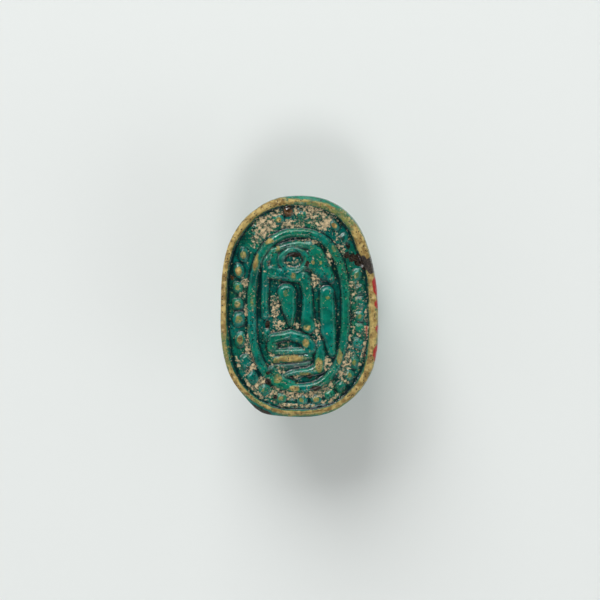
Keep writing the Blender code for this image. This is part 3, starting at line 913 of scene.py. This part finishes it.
# %% Helpers for groups
def new_group(name, inputs, outputs):
    """An empty node group with these sockets; returns it with its two end nodes."""
    group = bpy.data.node_groups.new(name, "ShaderNodeTree")
    for label, kind, value in inputs:
        socket = group.interface.new_socket(label, in_out="INPUT", socket_type="NodeSocket" + kind)
        if value is not None:
            socket.default_value = value
    for label, kind in outputs:
        group.interface.new_socket(label, in_out="OUTPUT", socket_type="NodeSocket" + kind)
    return group, group.nodes.new("NodeGroupInput").outputs, group.nodes.new("NodeGroupOutput").inputs


def add_math(tree, operation, *values):
    """A Math node; each value is a number or a socket to link."""
    node = tree.nodes.new("ShaderNodeMath")
    node.operation = operation
    for socket, value in zip(node.inputs, values):
        plug(tree, socket, value)
    return node.outputs["Value"]


def plug(tree, socket, value):
    if isinstance(value, bpy.types.NodeSocket):
        tree.links.new(value, socket)
    else:
        socket.default_value = value


def add_noise(tree, place, size, detail=3.0, harsh=0.5):
    """Noise with lumps of this size, from 0 to 1."""
    noise = tree.nodes.new("ShaderNodeTexNoise")
    noise.inputs["Roughness"].default_value = harsh
    plug(tree, noise.inputs["Vector"], place)
    plug(tree, noise.inputs["Scale"], add_math(tree, "DIVIDE", 1.0, size))
    noise.inputs["Detail"].default_value = detail
    return noise.outputs["Fac"]


def add_step(tree, low_edge, high_edge, value):
    """A smooth step from 0 to 1 between two edges."""
    node = tree.nodes.new("ShaderNodeMapRange")
    node.interpolation_type = "SMOOTHSTEP"
    plug(tree, node.inputs["Value"], value)
    plug(tree, node.inputs["From Min"], low_edge)
    plug(tree, node.inputs["From Max"], high_edge)
    return node.outputs["Result"]


def add_mix(tree, share, first, second):
    """A colour mixed from two others."""
    node = tree.nodes.new("ShaderNodeMix")
    node.data_type = "RGBA"
    plug(tree, node.inputs["Factor"], share)
    plug(tree, node.inputs["A"], first)
    plug(tree, node.inputs["B"], second)
    return node.outputs["Result"]


print("helpers ready")

# %% The four groups
drift, given, out = new_group(
    "drifting colour",
    (
        ("Place", "Vector", None),
        ("Size", "Float", 1.0),
        ("Pale", "Color", (1, 1, 1, 1)),
        ("Deep", "Color", (0, 0, 0, 1)),
    ),
    (("Color", "Color"),),
)
share = add_step(drift, 0.36, 0.64, add_noise(drift, given["Place"], given["Size"], 5.0))
drift.links.new(add_mix(drift, share, given["Deep"], given["Pale"]), out["Color"])

flecked, given, out = new_group(
    "flecked mask",
    (
        ("Place", "Vector", None),
        ("Size", "Float", 0.3),
        ("Mask", "Float", 0.0),
        ("Flecks", "Float", 0.8),
    ),
    (("Mask", "Float"),),
)
noise = add_math(flecked, "SUBTRACT", add_noise(flecked, given["Place"], given["Size"], 5.0, 0.7), 0.5)
swing = add_math(flecked, "MULTIPLY", given["Flecks"], 2.0)
pushed = add_math(flecked, "MULTIPLY_ADD", noise, swing, given["Mask"])
flecked.links.new(add_step(flecked, 0.38, 0.62, pushed), out["Mask"])

specks, given, out = new_group(
    "specks",
    (("Place", "Vector", None), ("Size", "Float", 0.1), ("Amount", "Float", 0.1)),
    (("Mask", "Float"),),
)
WANDER_PER_MM, WANDER_REACH = 9.0, 0.15
cells = specks.nodes.new("ShaderNodeTexVoronoi")
shaken = specks.nodes.new("ShaderNodeVectorMath")
shaken.operation = "MULTIPLY_ADD"
wander = specks.nodes.new("ShaderNodeTexNoise")
wander.inputs["Scale"].default_value = WANDER_PER_MM
specks.links.new(given["Place"], wander.inputs["Vector"])
specks.links.new(wander.outputs["Color"], shaken.inputs[0])
shaken.inputs[1].default_value = (WANDER_REACH,) * 3
specks.links.new(given["Place"], shaken.inputs[2])
specks.links.new(shaken.outputs["Vector"], cells.inputs["Vector"])
specks.links.new(add_math(specks, "DIVIDE", 1.0, given["Size"]), cells.inputs["Scale"])
lot = specks.nodes.new("ShaderNodeSeparateColor")
specks.links.new(cells.outputs["Color"], lot.inputs["Color"])
chosen = add_math(specks, "LESS_THAN", lot.outputs["Red"], given["Amount"])
dot = add_step(specks, 0.55, 0.3, cells.outputs["Distance"])
specks.links.new(add_math(specks, "MULTIPLY", chosen, dot), out["Mask"])

grain, given, out = new_group(
    "grain",
    (("Place", "Vector", None), ("Size", "Float", 0.2)),
    (("Height", "Float"),),
)
coarse = add_noise(grain, given["Place"], given["Size"], 4.0)
pits = grain.nodes.new("ShaderNodeTexVoronoi")
grain.links.new(given["Place"], pits.inputs["Vector"])
grain.links.new(add_math(grain, "DIVIDE", 0.6, given["Size"]), pits.inputs["Scale"])
grain.links.new(add_math(grain, "MULTIPLY_ADD", pits.outputs["Distance"], 0.5, coarse), out["Height"])
print("groups:", drift.name, flecked.name, specks.name, grain.name)

# %% [markdown]
# ## Glaze, stone, soil and stains in one material
# The finish is built up the way time built it: stone first, then the glaze over it, then
# wear, then soil and stains. Glaze is darker in grooves and hollows, partly where it pooled and
# partly as painted shade, and yellow-green where it is thin. One Principled shader takes the
# mixed colour and roughness, and a Bump node the grain.

# %% Layers of colour
surface = bpy.data.materials.new("worn blue-green glaze on stone")
surface.use_nodes = True
tree = surface.node_tree
shader = tree.nodes["Principled BSDF"]
coordinates = tree.nodes.new("ShaderNodeTexCoord")
scaled = tree.nodes.new("ShaderNodeVectorMath")
scaled.operation = "SCALE"
scaled.inputs["Scale"].default_value = 1 / MM
tree.links.new(coordinates.outputs["Object"], scaled.inputs[0])
place = scaled.outputs["Vector"]


def use(group, output, **values):
    """Place a group in the material, with these values on its sockets."""
    node = tree.nodes.new("ShaderNodeGroup")
    node.node_tree = group
    plug(tree, node.inputs["Place"], place)
    for label, value in values.items():
        plug(tree, node.inputs[label], value)
    return node.outputs[output]


def attribute(name, factor=1.0):
    """One of the masks on the mesh, times a factor."""
    node = tree.nodes.new("ShaderNodeAttribute")
    node.attribute_name = name
    return add_math(tree, "MULTIPLY", node.outputs["Fac"], factor)


def tones(size, pale, deep):
    """A colour that drifts between two tones, in patches of this size."""
    return use(drift, "Color", Size=size, Pale=pale, Deep=deep)


def broken(size, mask, flecks):
    """A mask whose edge is broken into flecks of this size."""
    return use(flecked, "Mask", Size=size, Mask=mask, Flecks=flecks)


def dots(size, amount):
    return use(specks, "Mask", Size=size, Amount=amount)


GLAZE_BLUE, GLAZE_GREEN = (0.001, 0.19, 0.15, 1), (0.004, 0.18, 0.095, 1)
GLAZE_DEEP = (0.0006, 0.055, 0.044, 1)
CHALK = (0.55, 0.44, 0.27, 1)
# The darkest glaze colour: dark specks, pooled glaze and painted shade in grooves.
DARK_SPECK_POOL_AND_SHADE = (0.0006, 0.012, 0.015, 1)
THIN_PALE, THIN_DEEP = (0.22, 0.23, 0.06, 1), (0.045, 0.13, 0.055, 1)
STONE_PALE, STONE_DEEP = (0.5, 0.37, 0.12, 1), (0.21, 0.13, 0.03, 1)
SOIL_PALE, SOIL_DEEP = (0.62, 0.48, 0.28, 1), (0.03, 0.06, 0.03, 1)
RUST_PALE, RUST_DEEP = (0.13, 0.06, 0.02, 1), (0.03, 0.018, 0.008, 1)
STAIN_PALE, STAIN_DEEP = (0.045, 0.032, 0.022, 1), (0.006, 0.004, 0.003, 1)
INK_COLOR = (0.34, 0.012, 0.008, 1)

glaze = tones(2.2, GLAZE_BLUE, GLAZE_GREEN)
cloudy = add_step(tree, 0.35, 0.75, add_noise(tree, place, 0.7, 6.0, 0.65))
glaze = add_mix(tree, cloudy, glaze, GLAZE_DEEP)
# Painted shade, with some real pooling: grooves and hollows go towards the darkest colour.
glaze = add_mix(tree, attribute("pool_and_shade"), glaze, DARK_SPECK_POOL_AND_SHADE)
blotches = broken(0.22, attribute("speckle", 0.24), 1.0)
glaze = add_mix(tree, blotches, glaze, tones(0.4, THIN_PALE, THIN_DEEP))
glaze = add_mix(tree, dots(0.13, attribute("speckle", 0.24)), glaze, DARK_SPECK_POOL_AND_SHADE)
thinned = broken(0.35, attribute("thin", 1.35), 0.6)
color = add_mix(tree, thinned, glaze, tones(0.5, THIN_PALE, THIN_DEEP))
bare = broken(0.3, attribute("thin", 0.8), 0.8)
color = add_mix(tree, bare, color, tones(0.4, STONE_PALE, STONE_DEEP))
color = add_mix(tree, dots(0.13, add_math(tree, "MULTIPLY", bare, 0.22)), color, RUST_DEEP)
rusted = broken(0.15, attribute("rust"), 0.8)
color = add_mix(tree, rusted, color, tones(0.3, RUST_PALE, RUST_DEEP))
soiled = broken(0.2, attribute("soil", 0.78), 1.7)
color = add_mix(tree, soiled, color, tones(0.2, SOIL_PALE, SOIL_DEEP))
color = add_mix(tree, dots(0.06, attribute("near_soil", 0.15)), color, CHALK)
color = add_mix(tree, dots(0.1, attribute("soil", 0.3)), color, DARK_SPECK_POOL_AND_SHADE)
stained = broken(0.4, attribute("stain"), 0.5)
color = add_mix(tree, stained, color, tones(0.12, STAIN_PALE, STAIN_DEEP))
color = add_mix(tree, broken(0.2, attribute("ink"), 0.5), color, INK_COLOR)
tree.links.new(color, shader.inputs["Base Color"])

# %% [markdown]
# ## Gloss and grain
# Glaze is glossy and nearly smooth, while bare stone and soil are dull and gritty. So one
# mask, how dry the surface is, raises both the roughness and the depth of the grain.

# %% Gloss and grain
dry = add_math(tree, "MAXIMUM", bare, soiled)
tree.links.new(add_math(tree, "MULTIPLY_ADD", dry, 0.6, 0.17), shader.inputs["Roughness"])
shader.inputs["Specular IOR Level"].default_value = 0.36
depth = add_math(tree, "MULTIPLY_ADD", dry, 0.6, 0.4)
relief = add_math(tree, "MULTIPLY", use(grain, "Height", Size=0.16), depth)
bump = tree.nodes.new("ShaderNodeBump")
bump.inputs["Distance"].default_value = 0.05 * MM
tree.links.new(relief, bump.inputs["Height"])
tree.links.new(bump.outputs["Normal"], shader.inputs["Normal"])
net.materials.clear()
net.materials.append(surface)
print("the material has", len(tree.nodes), "nodes")

# %% [markdown]
# ## The table, the lights and the camera
# The photo was taken from almost straight above, on a pale sheet. The camera stands far back
# with a long lens, so the sides don't splay, and it leans a little to the right, which is why
# the right wall of the plate shows.

# %% Floor
SHEET = [(-0.4, -0.4, 0), (0.4, -0.4, 0), (0.4, 0.4, 0), (-0.4, 0.4, 0)]
floor_mesh = bpy.data.meshes.new("sheet")
floor_mesh.from_pydata(SHEET, [], [(0, 1, 2, 3)])
sheet = loose_object("paper_sheet", floor_mesh)
paper = bpy.data.materials.new("pale paper")
paper.use_nodes = True
paper_shader = paper.node_tree.nodes["Principled BSDF"]
paper_shader.inputs["Base Color"].default_value = (0.77, 0.8, 0.785, 1)
paper_shader.inputs["Roughness"].default_value = 0.9
floor_mesh.materials.append(paper)
print("the sheet is", SHEET[1][0] - SHEET[0][0], "m wide")

# %% Camera
DISTANCE = 0.45
FRAME_WIDTH = 0.0432
SENSOR = 36
AIM = Vector((0.00007, 0.00047, 0.0065))
TILT_RIGHT, TILT_UP = math.radians(8), math.radians(3)

toward = Vector((math.tan(TILT_RIGHT), math.tan(TILT_UP), 1)).normalized()
lens = bpy.data.cameras.new("camera")
lens.sensor_width = SENSOR
lens.lens = SENSOR * DISTANCE / FRAME_WIDTH
lens.clip_start = 0.01
camera = bpy.data.objects.new("camera", lens)
right = Vector((0, 1, 0)).cross(toward).normalized()
turned = Matrix((right, toward.cross(right), toward)).transposed()
camera.matrix_world = Matrix.Translation(AIM + DISTANCE * toward) @ turned.to_4x4()
bpy.context.scene.collection.objects.link(camera)
bpy.context.scene.camera = camera
bpy.context.scene.view_settings.view_transform = "Standard"
print("the lens is", round(lens.lens), "mm long")

# %% [markdown]
# ## Lamps
# The photo's shadows fall downwards, so the main light is a large soft one beyond the
# amulet's upper end. Two weak ones keep the shadows on the sheet pale. A fourth stands at the
# upper left and only shines in the glaze, as a small bright window does, without a shadow.


# %% Lights
def lamp(name, place, size, power):
    """A square lamp that faces the amulet."""
    light = bpy.data.lights.new(name, "AREA")
    light.size = size
    light.energy = power
    thing = bpy.data.objects.new(name, light)
    thing.location = place
    thing.rotation_euler = Vector(place).to_track_quat("Z", "Y").to_euler()
    bpy.context.scene.collection.objects.link(thing)
    return thing


lamp("key", (-0.09, 0.4, 0.26), 0.36, 2.35)
lamp("low fill", (0.02, -0.3, 0.42), 0.16, 0.68)
lamp("right fill", (0.4, -0.2, 0.16), 0.3, 0.42)
sparkle = lamp("sparkle", (-0.27, 0.27, 0.4), 0.08, 1.8)
sparkle.visible_diffuse = False
print("the sparkle lamp is", round(sparkle.location.length, 2), "m away")

# %% [markdown]
# ## Sky
# The walls of the room are bright and what is overhead is dark. The camera looks straight
# down, so a bright ceiling would lie on the glaze as a grey haze and wash its colour out.

# %% Sky
SKY_AT_EDGE, SKY_OVERHEAD = 0.88, 0.02

world = bpy.data.worlds.new("studio")
bpy.context.scene.world = world
world.use_nodes = True
sky = world.node_tree
direction = sky.nodes.new("ShaderNodeTexCoord").outputs["Generated"]
parts = sky.nodes.new("ShaderNodeSeparateXYZ")
sky.links.new(direction, parts.inputs["Vector"])
overhead = add_step(sky, 0.3, 0.85, parts.outputs["Z"])
strength = add_math(sky, "MULTIPLY_ADD", overhead, SKY_OVERHEAD - SKY_AT_EDGE, SKY_AT_EDGE)
sky.links.new(strength, sky.nodes["Background"].inputs["Strength"])
sky.nodes["Background"].inputs["Color"].default_value = (1, 1, 1, 1)
print("sky from", SKY_AT_EDGE, "at the edge to", SKY_OVERHEAD, "overhead")
